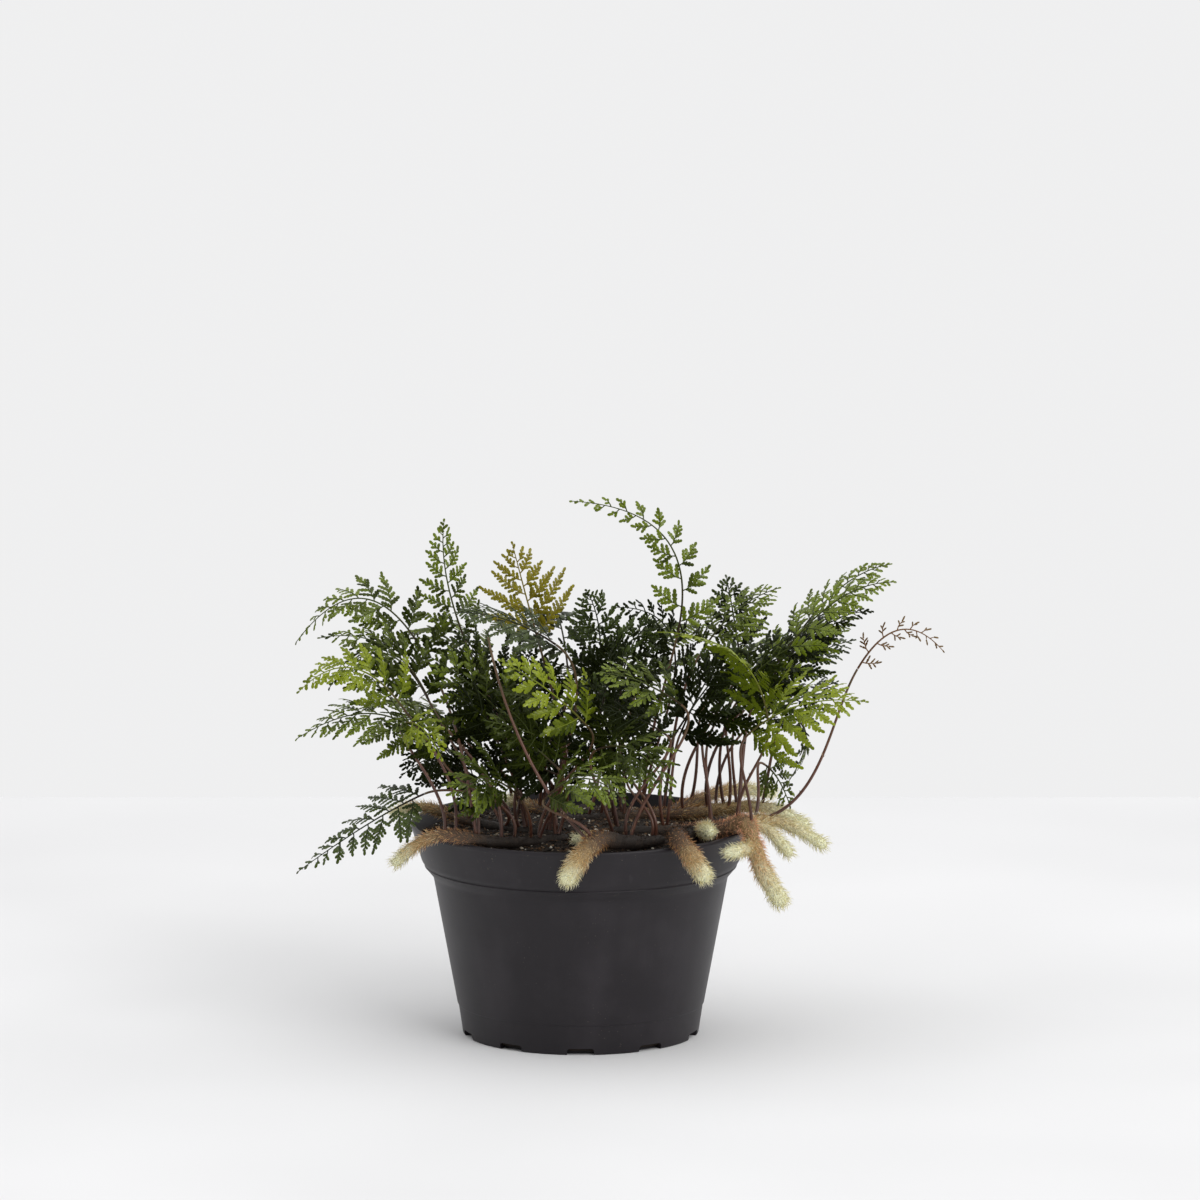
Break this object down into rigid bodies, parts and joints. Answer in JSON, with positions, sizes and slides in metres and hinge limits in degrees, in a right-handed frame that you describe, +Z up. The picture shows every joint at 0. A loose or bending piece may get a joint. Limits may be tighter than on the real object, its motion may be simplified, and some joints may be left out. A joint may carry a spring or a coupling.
{
  "type": "potted fern",
  "caption": "Potted fern with finely cut triangular fronds on wiry stalks, furry rhizomes creeping over the rim of a squat tapered nursery pot of soil.",
  "frame": {"origin": "middle of the pot's underside, on the surface it stands on", "axes": "+Z up, the plant's front towards -Y, its longest spread along X"},
  "size_m": [0.3122, 0.2225, 0.2632],
  "materials": {
    "pot": "matte charcoal plastic, lightly scuffed and dusty at the rim",
    "soil": "damp dark bark and peat mix with pale grains",
    "rhizome": "tan to cream fur on creeping stems, brown wiry stalks",
    "leaf_dark": "leathery dark blue-green, softly glossy",
    "leaf_mid": "leathery mid green, softly glossy",
    "leaf_lime": "young lime green, thin and softly glossy",
    "leaf_bronze": "young olive to bronze, softly glossy",
    "leaf_young": "unfurling red-brown frond"
  },
  "bodies": {
    "root": {"pot": "pot", "soil": "soil", "rhizome_left": "rhizome", "rhizome_front": "rhizome", "rhizome_right": "rhizome", "rhizome_back": "rhizome", "frond_left_1": "leaf_mid", "frond_left_2": "leaf_mid", "frond_left_3": "leaf_lime", "frond_left_4": "leaf_mid", "frond_left_5": "leaf_dark", "frond_left_6": "leaf_lime", "frond_left_7": "leaf_mid", "frond_left_8": "leaf_dark", "frond_top_1": "leaf_bronze", "frond_top_2": "leaf_dark", "frond_top_3": "leaf_dark", "frond_top_4": "leaf_mid", "frond_top_5": "leaf_mid", "frond_top_6": "leaf_dark", "frond_front_1": "leaf_lime", "frond_front_2": "leaf_mid", "frond_front_3": "leaf_mid", "frond_front_4": "leaf_mid", "frond_right_1": "leaf_mid", "frond_right_2": "leaf_mid", "frond_right_3": "leaf_mid", "frond_right_4": "leaf_dark", "frond_right_5": "leaf_lime", "frond_right_6": "leaf_lime", "frond_right_7": "leaf_dark", "frond_right_8": "leaf_mid", "frond_right_9": "leaf_mid", "frond_front_5": "leaf_mid", "frond_middle_1": "leaf_mid", "frond_middle_2": "leaf_mid", "frond_middle_3": "leaf_dark", "frond_middle_4": "leaf_dark", "frond_back_1": "leaf_mid", "frond_back_2": "leaf_dark", "frond_back_3": "leaf_mid", "frond_back_4": "leaf_mid", "frond_middle_5": "leaf_dark", "frond_middle_6": "leaf_dark", "frond_middle_7": "leaf_dark", "frond_middle_8": "leaf_dark", "frond_back_5": "leaf_mid", "frond_back_6": "leaf_dark", "frond_young": "leaf_young"}
  },
  "joints": []
}
